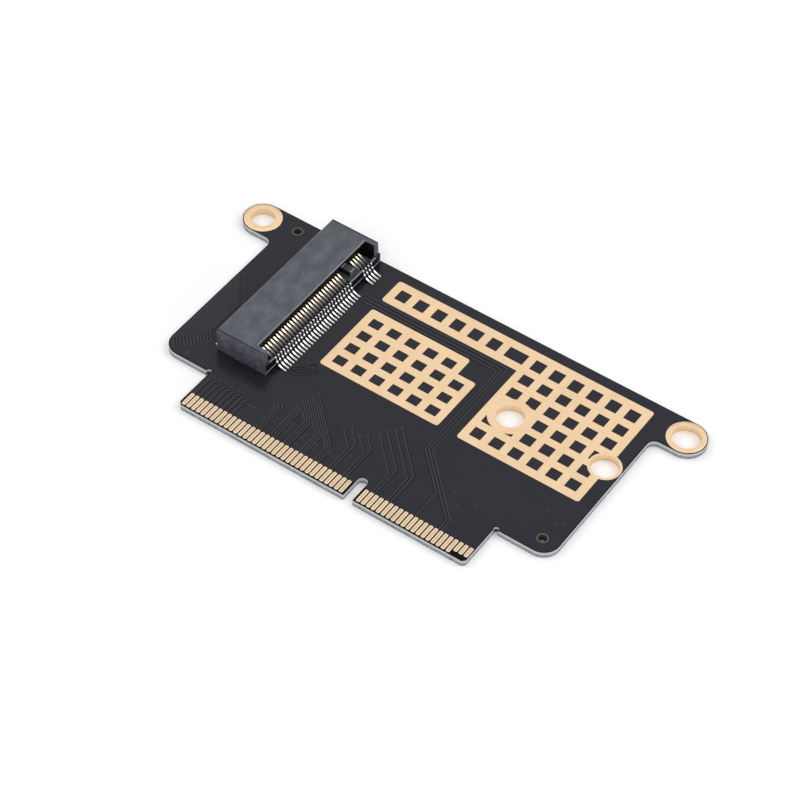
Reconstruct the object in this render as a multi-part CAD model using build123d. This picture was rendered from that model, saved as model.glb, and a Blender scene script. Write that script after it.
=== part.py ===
from build123d import *
import os
from math import hypot

# Adapter card that takes a short solid-state drive in a 75-position edge socket and plugs into a
# 22 + 34 contact drive connector. The origin is the middle of the near drive hole, on the underside
# of the board. X runs along the board away from the socket, Y runs away from the edge fingers and
# Z is up. Lengths are in millimetres.

# Board blank
board_thick = 0.8
board_left = -36.65
board_right = 13.97
board_back = 11.1
board_front = -14.05
board_corner_r = 2.0
finger_edge = -19.65
tab_corner = 0.35
tab_margin_left = 0.52
tab_margin_right = 0.35
relief_r = 0.3
relief_shift = 0.21
key_slot_x = -7.52
key_slot_width = 1.2
key_slot_end = -16.4

# Plating and the holes that it lines
copper = 0.035
sleeve_wall = 0.14
plating_gap = 0.02

# Ears with one screw hole each
ear_left_x = -39.7
ear_right_x = 16.9
ear_r = 2.35
ear_land_r = 2.25
ear_fillet_r = 1.0
ear_hole_left_r = 1.4
ear_hole_right_r = 1.65

# Drive screw holes, 12 mm apart, for the two short drive lengths
drive_length_short = 30.0
drive_length_step = 12.0
drive_hole_r = 1.6
drive_land_near_r = 2.55
drive_land_far_r = 1.9

# Tooling holes, without plating
tooling_r = 0.4
tooling_back = (-35.2, 9.3)
tooling_front = (11.95, -12.15)

# Edge fingers in two groups, one on each side of the key slot
finger_pitch = 0.63
finger_width = 0.47
finger_length = 1.9
finger_inset = 0.15
finger_short_cut = 0.5
finger_to_key = 1.115
finger_long_count = 34
finger_short_count = 22
finger_cut_count = 3

# Bare gold fields with square islands of mask
field_corner_r = 0.35
field_to_lands = 2.09
field_bar = 0.95
island_width = 1.45
island_height = 1.4
strip_top = 9.72
strip_bottom = 6.03
strip_first_inset = 1.71
strip_end_gap = 4.15
strip_count = 6
strip_island_height = 1.6
large_left = -3.12
large_right = 12.35
large_bottom = -5.87
large_first_inset = 1.65
large_pitch_x = 2.42
large_first_drop = 2.52
large_pitch_y = 2.37
large_columns = 6
large_rows = 6
small_top = 4.33
small_step_y = 1.78
small_bottom = -5.83
small_first_drop = 1.78
small_pitch_y = 2.26
small_columns = 6
small_rows = 4
small_island_height = 1.25

# Socket housing; heights are above the board, reaches are from the stop face of the slot
socket_wall = 0.8
row_end_gap = 0.8
socket_height = 3.1
socket_rear_wall = 1.3
cover_thick = 0.6
cover_reach = 3.7
cheek_reach = 5.07
cheek_slope = 0.1
lip_reach = 5.42
lip_height = 0.35
jaw_reach = 5.33
jaw_height = 1.42
jaw_chamfer = 0.12
stand_off = 0.15
stand_width = 1.2
ledge_width = 0.3
ledge_drop = 0.12
edge_chamfer = 0.1
pocket_width = 0.72
pocket_reach = 1.6
pocket_wall = 0.3
pocket_floor = 0.7
key_post_width = 0.8
key_post_reach = 4.82
key_post_drop = 0.25
peg_r_small = 0.5
peg_r_large = 0.75
peg_length = 0.65
peg_gap = 0.06
peg_reach = 3.0
peg_inset = 0.8
card_play = 0.1

# Contacts: pitch, strip section, feet and the grooves that hold them
contact_pitch = 0.5
row_step_count = 37
contact_thick = 0.14
contact_width = 0.2
groove_gap = 0.05
main_count = 29
key_gap_count = 4
key_even_count = 4
key_odd_count = 5
foot_length = 0.75
toe_length = 0.3
knee_run = 0.54
knee_rise = 0.46
bend_run = 0.03
bend_drop = 0.07
arm_length = 1.35
tip_length = 0.45
front_toe_past_lip = 1.24
rear_toe_past_wall = 1.05
land_width = 0.3
land_margin = 0.12
seat_depth = 0.3
seat_lift = 0.03
seat_length = 0.53
spring_depth = 0.52
spring_length = 3.0
tip_height = 1.8
rear_groove_depth = 0.25
roof_groove = 0.25
roof_groove_reach = 3.0
roof_arm_start = 0.2
roof_tip_play = 0.1
roof_tip_height = 2.12
rear_bend_height = 0.55

# Hold-down tabs at the rear corners of the housing
tab_thick = 0.2
tab_width = 0.6
tab_height = 1.4
tab_foot = 0.5
tab_gap = 0.03
tab_inset = 0.7
tab_land_reach = 0.2
tab_solder_length = 0.15
tab_solder_height = 0.16

# Datum lines that follow from the sizes above
ear_y = board_back - ear_r
stop_x = -drive_length_short - card_play
socket_rear = stop_x - socket_rear_wall
row_end_y = row_step_count * contact_pitch / 2
key_middle_step = main_count + (key_gap_count - 1) / 2 + 1 / 4
key_post_y = -row_end_y + key_middle_step * contact_pitch
slot_half = row_end_y + row_end_gap
socket_half = slot_half + socket_wall
tab_y = socket_half - tab_inset
peg_y = socket_half - peg_inset
peg_x = stop_x + peg_reach
ceiling = socket_height - cover_thick
lip_x = stop_x + lip_reach
jaw_x = stop_x + jaw_reach
cover_x = stop_x + cover_reach
front_toe = lip_x + front_toe_past_lip
rear_toe = socket_rear - rear_toe_past_wall
field_left = front_toe + land_margin + field_to_lands
strip_first_x = field_left + strip_first_inset
strip_last_x = large_left - strip_end_gap
strip_pitch = (strip_last_x - strip_first_x) / (strip_count - 1)
small_right = strip_last_x + island_width / 2 + field_bar
small_right_top = small_right - strip_pitch
large_first_x = large_left + large_first_inset
foot_z = copper + contact_thick / 2
finger_left = key_slot_x - finger_to_key - (finger_long_count - 1) * finger_pitch
finger_right = key_slot_x + finger_to_key + (finger_short_count - 1) * finger_pitch
tab_left = finger_left - tab_margin_left
tab_right = finger_right + tab_margin_right
groove_width = contact_width + 2 * groove_gap
overcut = 1.0


def span(x0, x1, y0, y1):
    """Rectangle between two corners, in the XY plane."""
    return Pos((x0 + x1) / 2, (y0 + y1) / 2) * Rectangle(x1 - x0, y1 - y0)


def block(x0, x1, y0, y1, z0, z1):
    """Box between two corners."""
    return Pos((x0 + x1) / 2, (y0 + y1) / 2, (z0 + z1) / 2) * Box(x1 - x0, y1 - y0, z1 - z0)


def disc(x, y, r):
    """Circle at a place in the XY plane."""
    return Pos(x, y) * Circle(r)


def corners(face, *places):
    """Corner points of a face that lie at the given places."""
    return [v for v in face.vertices() if any(hypot(v.X - x, v.Y - y) < 1e-3 for x, y in places)]


def raised(face, z0, height):
    """Face lifted to z0 and thickened upwards."""
    return Pos(0, 0, z0) * extrude(face, height)


def side_profile(points, y0, y1):
    """Prism of an outline given as X, Z pairs, from y0 to y1."""
    face = Plane.XZ * make_face(Polyline(*points, close=True))
    return Pos(0, y1, 0) * extrude(face, y1 - y0)


def strip(points, thick):
    """Outline of a bent strip of even thickness round a centre line of X, Z pairs."""
    line = [Vector(x, z) for x, z in points]
    turns = [(b - a).normalized() for a, b in zip(line, line[1:])]
    normals = [Vector(-t.Y, t.X) for t in turns]
    sides = []
    for i, point in enumerate(line):
        before = normals[max(i - 1, 0)]
        after = normals[min(i, len(normals) - 1)]
        mitre = (before + after).normalized()
        sides.append((point, mitre * (thick / 2 / mitre.dot(after))))
    upper = [(p + m) for p, m in sides]
    lower = [(p - m) for p, m in reversed(sides)]
    return [(v.X, v.Y) for v in upper + lower]


def contact_rows(first_y, key_count):
    """Places along Y of the contacts before the key and of those after it."""
    key_first = main_count + key_gap_count
    main = [first_y + i * contact_pitch for i in range(main_count)]
    key = [first_y + (key_first + i) * contact_pitch for i in range(key_count)]
    return {"main": main, "key": key}


even_rows = contact_rows(-row_end_y + contact_pitch / 2, key_even_count)
odd_rows = contact_rows(-row_end_y, key_odd_count)
even_all = even_rows["main"] + even_rows["key"]
odd_all = odd_rows["main"] + odd_rows["key"]


def board_outline():
    """Board blank with two ears, the finger tab, the key slot and the relief holes."""
    face = span(board_left, board_right, board_front, board_back)
    face += span(tab_left, tab_right, finger_edge, board_front + overcut)
    ear_front = ear_y - ear_r
    face += span(ear_left_x, board_left + overcut, ear_front, board_back) + disc(ear_left_x, ear_y, ear_r)
    face += span(board_right - overcut, ear_right_x, ear_front, board_back) + disc(ear_right_x, ear_y, ear_r)
    face = fillet(corners(face, (board_left, board_front), (board_right, board_front)), board_corner_r)
    face = fillet(corners(face, (board_left, ear_front), (board_right, ear_front)), ear_fillet_r)
    face = chamfer(corners(face, (tab_left, finger_edge), (tab_right, finger_edge)), tab_corner)
    for x, way in ((tab_left, -1), (tab_right, 1)):
        face -= disc(x + way * relief_shift, board_front + relief_r - relief_shift, relief_r)
    slot_round = key_slot_end - key_slot_width / 2
    face -= span(key_slot_x - key_slot_width / 2, key_slot_x + key_slot_width / 2,
                 finger_edge - overcut, slot_round) + disc(key_slot_x, slot_round, key_slot_width / 2)
    return face


plated_holes = {
    "ear_left": (ear_left_x, ear_y, ear_hole_left_r),
    "ear_right": (ear_right_x, ear_y, ear_hole_right_r),
    "drive_near": (0.0, 0.0, drive_hole_r),
    "drive_far": (drive_length_step, 0.0, drive_hole_r),
}
pegs = ((-peg_y, peg_r_small), (peg_y, peg_r_large))


def make_board():
    """Glass-fibre board under black mask, with room for the plating sleeves and the socket's pegs."""
    holes = [disc(x, y, r + sleeve_wall + plating_gap) for x, y, r in plated_holes.values()]
    holes += [disc(x, y, tooling_r) for x, y in (tooling_back, tooling_front)]
    holes += [disc(peg_x, y, r + peg_gap) for y, r in pegs]
    return extrude(board_outline() - holes, board_thick)


def make_eyelet(x, y, r, land_r=0):
    """Plating of one hole: a sleeve through the board and, on an ear, the land on top."""
    sleeve = disc(x, y, r + sleeve_wall) - disc(x, y, r)
    solid = extrude(sleeve, board_thick)
    if land_r:
        solid += raised(disc(x, y, land_r) - disc(x, y, r), board_thick, copper)
    return solid


def island_grid(first_x, pitch_x, columns, first_y, pitch_y, rows, height):
    """Rows of rectangular islands, counted to the right and downwards."""
    places = [(first_x + i * pitch_x, first_y - j * pitch_y) for i in range(columns) for j in range(rows)]
    return [Pos(x, y) * Rectangle(island_width, height) for x, y in places]


def make_large_field():
    """Upper strip and large field of bare gold, with round lands for the two drive holes."""
    plate = span(field_left, large_right, strip_bottom, strip_top)
    plate += span(large_left, large_right, large_bottom, strip_top)
    outer = corners(plate, (field_left, strip_top), (field_left, strip_bottom), (large_right, strip_top),
                    (large_right, large_bottom), (large_left, large_bottom))
    plate = fillet(outer, field_corner_r)
    strip_y = (strip_top + strip_bottom) / 2
    wide_left = strip_last_x + island_width / 2 + field_bar
    wide_right = large_first_x - island_width / 2 - field_bar
    islands = island_grid(strip_first_x, strip_pitch, strip_count, strip_y, 0, 1, strip_island_height)
    islands += island_grid(large_first_x, large_pitch_x, large_columns, strip_y, 0, 1, strip_island_height)
    islands += island_grid(large_first_x, large_pitch_x, large_columns, strip_y - large_first_drop,
                           large_pitch_y, large_rows - 1, island_height)
    half = strip_island_height / 2
    islands.append(span(wide_left, wide_right, strip_y - half, strip_y + half))
    plate -= islands
    plate += disc(0, 0, drive_land_near_r) + disc(drive_length_step, 0, drive_land_far_r)
    plate -= disc(0, 0, drive_hole_r) + disc(drive_length_step, 0, drive_hole_r)
    return raised(plate, board_thick, copper)


def make_small_field():
    """Stepped field of bare gold between the socket and the near drive hole."""
    plate = span(field_left, small_right_top, small_bottom, small_top)
    plate += span(field_left, small_right, small_bottom, small_step_y)
    outer = corners(plate, (field_left, small_top), (field_left, small_bottom), (small_right_top, small_top),
                    (small_right, small_step_y), (small_right, small_bottom))
    plate = fillet(outer, field_corner_r)
    first_y = small_top - small_first_drop
    islands = island_grid(strip_first_x, strip_pitch, small_columns - 1, first_y, small_pitch_y, small_rows,
                          small_island_height)
    islands += island_grid(strip_first_x + (small_columns - 1) * strip_pitch, strip_pitch, 1,
                           first_y - small_pitch_y, small_pitch_y, small_rows - 1, small_island_height)
    return raised(plate - islands, board_thick, copper)


def make_fingers(first_x, step, count, cut):
    """Row of contact pads along the tab; the last pads may stop short of its edge."""
    pads = []
    for i in range(count):
        edge = finger_edge + finger_inset + (finger_short_cut if i >= count - cut else 0)
        back = finger_edge + finger_inset + finger_length
        x = first_x + step * i
        pad = span(x - finger_width / 2, x + finger_width / 2, edge, back)
        pads.append(raised(pad, board_thick, copper))
    return Compound(pads)


def make_housing():
    """Moulded housing: rear wall, cover, cheeks, jaw with lip, key post, grooves and pegs."""
    section = [
        (socket_rear, stand_off), (lip_x, stand_off), (lip_x, lip_height), (jaw_x, lip_height),
        (jaw_x, jaw_height - jaw_chamfer), (jaw_x - jaw_chamfer, jaw_height), (stop_x, jaw_height),
        (stop_x, ceiling), (cover_x - edge_chamfer, ceiling), (cover_x, ceiling + edge_chamfer),
        (cover_x, socket_height - edge_chamfer), (cover_x - edge_chamfer, socket_height),
        (socket_rear + edge_chamfer, socket_height), (socket_rear, socket_height - edge_chamfer),
    ]
    body = side_profile(section, -slot_half, slot_half)
    cheek_x = stop_x + cheek_reach
    cheek = [
        (socket_rear, 0), (lip_x, 0), (lip_x, lip_height), (jaw_x, lip_height), (jaw_x, jaw_height),
        (cheek_x, jaw_height), (cheek_x - cheek_slope, socket_height),
        (socket_rear + edge_chamfer, socket_height), (socket_rear, socket_height - edge_chamfer),
    ]
    post_x = stop_x + key_post_reach
    post_top = ceiling - key_post_drop
    post_roof = ceiling + cover_thick / 2
    post = [
        (stop_x, lip_height), (post_x, lip_height), (post_x, post_top - edge_chamfer),
        (post_x - edge_chamfer, post_top), (cover_x - edge_chamfer, post_top),
        (cover_x - cover_thick, post_roof), (stop_x, post_roof),
    ]
    for y_near, y_far in ((-socket_half, -slot_half), (slot_half, socket_half)):
        body += side_profile(cheek, y_near, y_far)
    stand_in = socket_half - stand_width
    for y_near, y_far in ((-slot_half, -stand_in), (stand_in, slot_half)):
        body += block(socket_rear, lip_x, y_near, y_far, 0, lip_height)
    body += side_profile(post, key_post_y - key_post_width / 2, key_post_y + key_post_width / 2)
    for y, r in pegs:
        body += Pos(peg_x, y, -peg_length) * extrude(Circle(r), peg_length + lip_height)
    return Pos(0, 0, board_thick) * (body - contact_grooves() - end_cuts())


def contact_grooves():
    """Spaces for the contacts: seats and spring slots in the jaw, runs in the roof and the rear wall."""
    seat_end = jaw_x - seat_length
    cuts = []
    for y in even_all:
        near, far = y - groove_width / 2, y + groove_width / 2
        cuts.append(block(seat_end, lip_x, near, far, jaw_height - seat_depth, jaw_height + plating_gap))
        cuts.append(block(seat_end - spring_length, seat_end, near, far, jaw_height - spring_depth,
                          jaw_height + plating_gap))
    for y in odd_all:
        near, far = y - groove_width / 2, y + groove_width / 2
        cuts.append(block(socket_rear - overcut, socket_rear + rear_groove_depth, near, far, -overcut,
                          ceiling + roof_groove))
        cuts.append(block(socket_rear, stop_x + roof_groove_reach, near, far, ceiling - plating_gap,
                          ceiling + roof_groove))
    return cuts


def end_cuts():
    """Deep pockets at the slot ends, low ledges on the roof and the seats of the hold-down tabs."""
    seat_half = tab_width / 2 + tab_gap
    cuts = []
    jaw_top = jaw_height + plating_gap
    ledge_z = socket_height - ledge_drop
    for side in (-1, 1):
        pocket = sorted((side * slot_half, side * (slot_half - pocket_width)))
        ledge = sorted((side * (socket_half - ledge_width), side * (socket_half + overcut)))
        cuts.append(block(stop_x + pocket_reach, jaw_x - pocket_wall, *pocket, pocket_floor, jaw_top))
        cuts.append(block(socket_rear - overcut, lip_x, *ledge, ledge_z, socket_height + overcut))
        cuts.append(block(socket_rear - overcut, socket_rear + tab_thick, side * tab_y - seat_half,
                          side * tab_y + seat_half, -overcut, tab_height + tab_gap))
    return cuts


def even_path():
    """Centre line of a lower contact: toe, slope up to the knee, leg, bend over the jaw, arm and tip."""
    bend_z = jaw_height - bend_drop
    arm_z = jaw_height - seat_depth + seat_lift + contact_thick / 2
    arm_x = jaw_x - seat_length + groove_gap
    toe_end = front_toe - toe_length
    return [
        (front_toe, foot_z), (toe_end, foot_z), (toe_end - knee_run, knee_rise), (jaw_x + bend_run, bend_z),
        (arm_x, arm_z), (arm_x - arm_length, tip_height), (arm_x - arm_length - tip_length, jaw_height),
    ]


def odd_path():
    """Centre line of an upper contact: tip, spring arm, run through the roof, leg and foot."""
    leg_x = socket_rear + rear_groove_depth - contact_thick / 2
    roof_z = ceiling + roof_groove / 2
    return [
        (stop_x + roof_groove_reach - roof_tip_play, roof_tip_height), (stop_x + roof_arm_start, roof_z),
        (leg_x, roof_z), (leg_x, rear_bend_height), (rear_toe + foot_length, foot_z), (rear_toe, foot_z),
    ]


def make_contacts(path, places):
    """Bent strips of one outline, one at each place along Y."""
    outline = strip(path, contact_thick)
    first = side_profile(outline, -contact_width / 2, contact_width / 2)
    return Compound([Pos(0, y, board_thick) * first for y in places])


def make_lands(toe, heel, places):
    """Tinned pads under a row of feet, a little longer than the feet at each end."""
    low, high = min(toe, heel) - land_margin, max(toe, heel) + land_margin
    return [block(low, high, y - land_width / 2, y + land_width / 2, board_thick, board_thick + copper)
            for y in places]


def make_hold_down(side):
    """Bent steel tab: a leg set flush in the rear wall and a foot that is soldered down."""
    near, far = side * tab_y - tab_width / 2, side * tab_y + tab_width / 2
    leg = block(socket_rear, socket_rear + tab_thick, near, far, copper, tab_height)
    foot = block(socket_rear - tab_foot, socket_rear, near, far, copper, copper + tab_thick)
    return Pos(0, 0, board_thick) * (leg + foot)


def hold_down_joint(side):
    """Land and solder fillet of one hold-down tab."""
    near, far = side * tab_y - tab_width / 2, side * tab_y + tab_width / 2
    toe = socket_rear - tab_foot
    land = block(toe - tab_land_reach, socket_rear + tab_thick, near, far, board_thick, board_thick + copper)
    wedge = [(toe, copper), (toe - tab_solder_length, copper), (toe, copper + tab_solder_height)]
    return land, Pos(0, 0, board_thick) * side_profile(wedge, near, far)


front_heel = front_toe - foot_length
rear_heel = rear_toe + foot_length
near_land, near_solder = hold_down_joint(-1)
far_land, far_solder = hold_down_joint(1)

parts = {
    "board": make_board(),
    "ear_eyelet_left": make_eyelet(*plated_holes["ear_left"], ear_land_r),
    "ear_eyelet_right": make_eyelet(*plated_holes["ear_right"], ear_land_r),
    "drive_eyelet_near": make_eyelet(*plated_holes["drive_near"]),
    "drive_eyelet_far": make_eyelet(*plated_holes["drive_far"]),
    "gold_field_large": make_large_field(),
    "gold_field_small": make_small_field(),
    "edge_fingers_long": make_fingers(key_slot_x - finger_to_key, -finger_pitch, finger_long_count, 0),
    "edge_fingers_short": make_fingers(key_slot_x + finger_to_key, finger_pitch, finger_short_count,
                                       finger_cut_count),
    "socket_housing": make_housing(),
    "lower_contacts_main": make_contacts(even_path(), even_rows["main"]),
    "lower_contacts_key": make_contacts(even_path(), even_rows["key"]),
    "upper_contacts_main": make_contacts(odd_path(), odd_rows["main"]),
    "upper_contacts_key": make_contacts(odd_path(), odd_rows["key"]),
    "hold_down_near": make_hold_down(-1),
    "hold_down_far": make_hold_down(1),
    "contact_lands_front": Compound(make_lands(front_toe, front_heel, even_all)),
    "contact_lands_rear": Compound(make_lands(rear_toe, rear_heel, odd_all)),
    "hold_down_lands": Compound([near_land, far_land]),
    "solder_hold_downs": Compound([near_solder, far_solder]),
}

os.makedirs("parts", exist_ok=True)
for name, shape in parts.items():
    export_step(shape, f"parts/{name}.step")
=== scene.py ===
"""Looks of the drive adapter card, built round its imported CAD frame.

Sizes are in millimetres in the frame of the card: the origin is the middle of the near drive hole
on the underside of the board, X runs away from the socket, Y away from the edge fingers and Z up.
Meshes are made in metres.
"""
import logging
import math
from dataclasses import dataclass, field
from enum import Enum, IntEnum
from typing import Iterable, Optional, Sequence

import bmesh
import bpy
from mathutils import Matrix, Vector


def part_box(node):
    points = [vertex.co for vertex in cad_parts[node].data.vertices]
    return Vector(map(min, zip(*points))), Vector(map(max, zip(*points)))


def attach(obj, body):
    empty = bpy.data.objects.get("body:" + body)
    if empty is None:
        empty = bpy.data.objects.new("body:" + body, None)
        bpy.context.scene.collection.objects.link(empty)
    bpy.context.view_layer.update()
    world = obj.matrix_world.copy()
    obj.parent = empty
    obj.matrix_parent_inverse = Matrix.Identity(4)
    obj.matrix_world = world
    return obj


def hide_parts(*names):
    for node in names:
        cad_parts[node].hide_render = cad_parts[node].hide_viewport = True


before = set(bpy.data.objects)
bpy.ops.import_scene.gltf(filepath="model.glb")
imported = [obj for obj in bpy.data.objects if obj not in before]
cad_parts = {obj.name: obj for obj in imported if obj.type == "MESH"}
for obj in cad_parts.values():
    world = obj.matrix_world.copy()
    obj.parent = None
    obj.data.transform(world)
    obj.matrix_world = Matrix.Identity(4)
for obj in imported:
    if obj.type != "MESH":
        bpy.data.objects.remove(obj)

MM = 0.001
BODY = "root"
COLOUR_INPUTS = (6, 7)  # the two colours of a mix node
COLOUR_RESULT = 2  # its mixed colour
WELD = 1e-4  # vertices closer than this become one, in millimetres
FLAT_ANGLE = 0.5  # faces that meet at less than this become one, in degrees
SMOOTH_ANGLE = 35.0  # largest angle that is shaded smooth, in degrees
SQUARE_ON = 0.96  # least share of a normal along an axis in a face that is square to it
UPWARD = 0.9  # the same for a face of a flat part that looks up
MARKED = 1  # index of the second material of a piece
log = logging.getLogger("card")

Point = tuple[float, float]
Colour = tuple[float, float, float, float]


class Slot(Enum):
    """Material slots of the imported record."""

    MASK = "black_mask"
    GOLD = "gold_plating"
    PLASTIC = "socket_plastic"
    CONTACT = "contact_metal"
    SOLDER = "solder"


class Row(Enum):
    """The two rows of contacts in the socket."""

    LOWER = "lower"
    UPPER = "upper"


class Mark(IntEnum):
    """Material index of a face of the housing: plain, painted highlight or painted shade."""

    OUTSIDE = 0
    # painted highlight on edges
    HIGHLIGHT = 1
    # painted shade on inner faces
    SHADE = 2
    # lighter painted shade on the jaw's top
    JAW_SHADE = 3


@dataclass(frozen=True)
class Series:
    """Evenly spaced values."""

    first: float
    step: float

    def at(self, index: int) -> float:
        """Value at an index, which counts from zero."""
        return self.first + self.step * index


def node_range(name: str) -> tuple[Vector, Vector]:
    """Corners of a CAD node in millimetres.

    Args:
        name: Name of the node.

    Returns:
        The lowest and the highest corner.
    """
    low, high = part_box(name)
    return low / MM, high / MM


class Graph:
    """Node graph of one material, with short ways to add and join nodes."""

    NOISE_RANGE = (0.3, 0.7)

    def __init__(self, name: str) -> None:
        """Start an empty graph with an output and object coordinates.

        Args:
            name: Name of the material.
        """
        self.material = bpy.data.materials.new(name)
        self.material.use_nodes = True
        self.tree = self.material.node_tree
        self.tree.nodes.clear()
        self.output = self.add("ShaderNodeOutputMaterial")
        self.place = self.add("ShaderNodeTexCoord").outputs["Object"]
        split = self.add("ShaderNodeSeparateXYZ")
        self.join(self.place, split.inputs[0])
        self.x, self.y, self.z = split.outputs

    def add(self, kind: str, **settings: object) -> bpy.types.Node:
        """Add a node.

        Args:
            kind: Type name of the node.
            settings: Attributes to set on it.

        Returns:
            The new node.
        """
        node = self.tree.nodes.new(kind)
        for key, value in settings.items():
            setattr(node, key, value)
        return node

    def join(self, source: object, target: bpy.types.NodeSocket) -> None:
        """Link a socket to an input, or set the input to a constant.

        Args:
            source: Output socket, number or colour.
            target: Input that takes it.
        """
        if isinstance(source, bpy.types.NodeSocket):
            self.tree.links.new(source, target)
        else:
            target.default_value = source

    def maths(self, operation: str, *values: object) -> bpy.types.NodeSocket:
        """Combine numbers.

        Args:
            operation: Name of the operation.
            values: Sockets or constants.

        Returns:
            The result.
        """
        node = self.add("ShaderNodeMath", operation=operation)
        for value, target in zip(values, node.inputs):
            self.join(value, target)
        return node.outputs[0]

    def fade(self, value: object, low: float, high: float, start: float = 0.0,
             end: float = 1.0) -> bpy.types.NodeSocket:
        """Map a value smoothly from one range to another, and hold it at the ends.

        Args:
            value: Socket to map.
            low: Value that gives start.
            high: Value that gives end.
            start: Result at low.
            end: Result at high.

        Returns:
            The mapped value.
        """
        node = self.add("ShaderNodeMapRange", interpolation_type="SMOOTHSTEP")
        for source, target in zip((value, low, high, start, end), node.inputs):
            self.join(source, target)
        return node.outputs[0]

    def noise(self, size: float, detail: float = 3.0, stretch: Sequence[float] = (1, 1, 1),
              ) -> bpy.types.NodeSocket:
        """Noise with features of a real size.

        Args:
            size: Size of a feature in millimetres.
            detail: Number of finer layers.
            stretch: Factors on the three coordinates.

        Returns:
            The noise, about 0.5 on average.
        """
        mapping = self.add("ShaderNodeMapping")
        self.join(self.place, mapping.inputs["Vector"])
        mapping.inputs["Scale"].default_value = stretch
        node = self.add("ShaderNodeTexNoise")
        self.join(mapping.outputs[0], node.inputs["Vector"])
        node.inputs["Scale"].default_value = 1 / (size * MM)
        node.inputs["Detail"].default_value = detail
        return node.outputs["Fac"]

    def vary(self, pattern: object, low: float, high: float) -> bpy.types.NodeSocket:
        """Spread a noise between two values.

        Args:
            pattern: The noise.
            low: Lowest value.
            high: Highest value.

        Returns:
            The spread noise.
        """
        return self.fade(pattern, *self.NOISE_RANGE, low, high)

    def specks(self, spacing: float, radius: float, core: float = 0.6) -> bpy.types.NodeSocket:
        """Small round spots, one to each cell.

        Args:
            spacing: Rough distance between them in millimetres.
            radius: Radius of a spot in millimetres.
            core: Share of the radius within which a spot is full.

        Returns:
            One inside a spot and zero outside.
        """
        node = self.add("ShaderNodeTexVoronoi")
        self.join(self.place, node.inputs["Vector"])
        node.inputs["Scale"].default_value = 1 / (spacing * MM)
        return self.fade(node.outputs["Distance"], radius / spacing, core * radius / spacing)

    def within(self, centre: Point, radius: float, blur: float = 0.03) -> bpy.types.NodeSocket:
        """Round area seen from above.

        Args:
            centre: Its middle in millimetres.
            radius: Its radius in millimetres.
            blur: Width of its soft edge in millimetres.

        Returns:
            One inside and zero outside.
        """
        across = self.maths("SUBTRACT", self.x, centre[0] * MM)
        along = self.maths("SUBTRACT", self.y, centre[1] * MM)
        square = self.maths("ADD", self.maths("MULTIPLY", across, across),
                            self.maths("MULTIPLY", along, along))
        return self.fade(self.maths("SQRT", square), radius * MM, (radius - blur) * MM)

    def within_any(self, lands: Sequence["Land"]) -> object:
        """Several round areas seen from above.

        Args:
            lands: The areas.

        Returns:
            One inside any of them and zero outside.
        """
        inside: object = 0.0
        for land in lands:
            inside = self.maths("MAXIMUM", inside, self.within(land.centre, land.radius))
        return inside

    def blend(self, factor: object, first: object, second: object) -> bpy.types.NodeSocket:
        """Mix two colours.

        Args:
            factor: Share of the second.
            first: Colour or socket.
            second: Colour or socket.

        Returns:
            The mixed colour.
        """
        node = self.add("ShaderNodeMix", data_type="RGBA")
        self.join(factor, node.inputs["Factor"])
        for colour, index in zip((first, second), COLOUR_INPUTS):
            self.join(colour, node.inputs[index])
        return node.outputs[COLOUR_RESULT]

    def bump(self, height: object, depth: float, strength: float = 1.0, under: object = None,
             ) -> bpy.types.NodeSocket:
        """Turn a height into a normal.

        Args:
            height: Height from 0 to 1.
            depth: Real height in millimetres.
            strength: Share of the effect.
            under: Normal of a coarser bump below, if there is one.

        Returns:
            The normal.
        """
        node = self.add("ShaderNodeBump")
        self.join(height, node.inputs["Height"])
        node.inputs["Distance"].default_value = depth * MM
        node.inputs["Strength"].default_value = strength
        if under is not None:
            self.join(under, node.inputs["Normal"])
        return node.outputs[0]

    def finish(self, **sockets: object) -> bpy.types.Material:
        """Add the shader.

        Args:
            sockets: Values or sockets by input name, with underscores for spaces.

        Returns:
            The finished material.
        """
        shader = self.add("ShaderNodeBsdfPrincipled")
        for key, value in sockets.items():
            self.join(value, shader.inputs[key.replace("_", " ")])
        self.join(shader.outputs[0], self.output.inputs["Surface"])
        return self.material


@dataclass(frozen=True)
class Land:
    """Round land round a hole."""

    centre: Point
    radius: float


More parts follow.
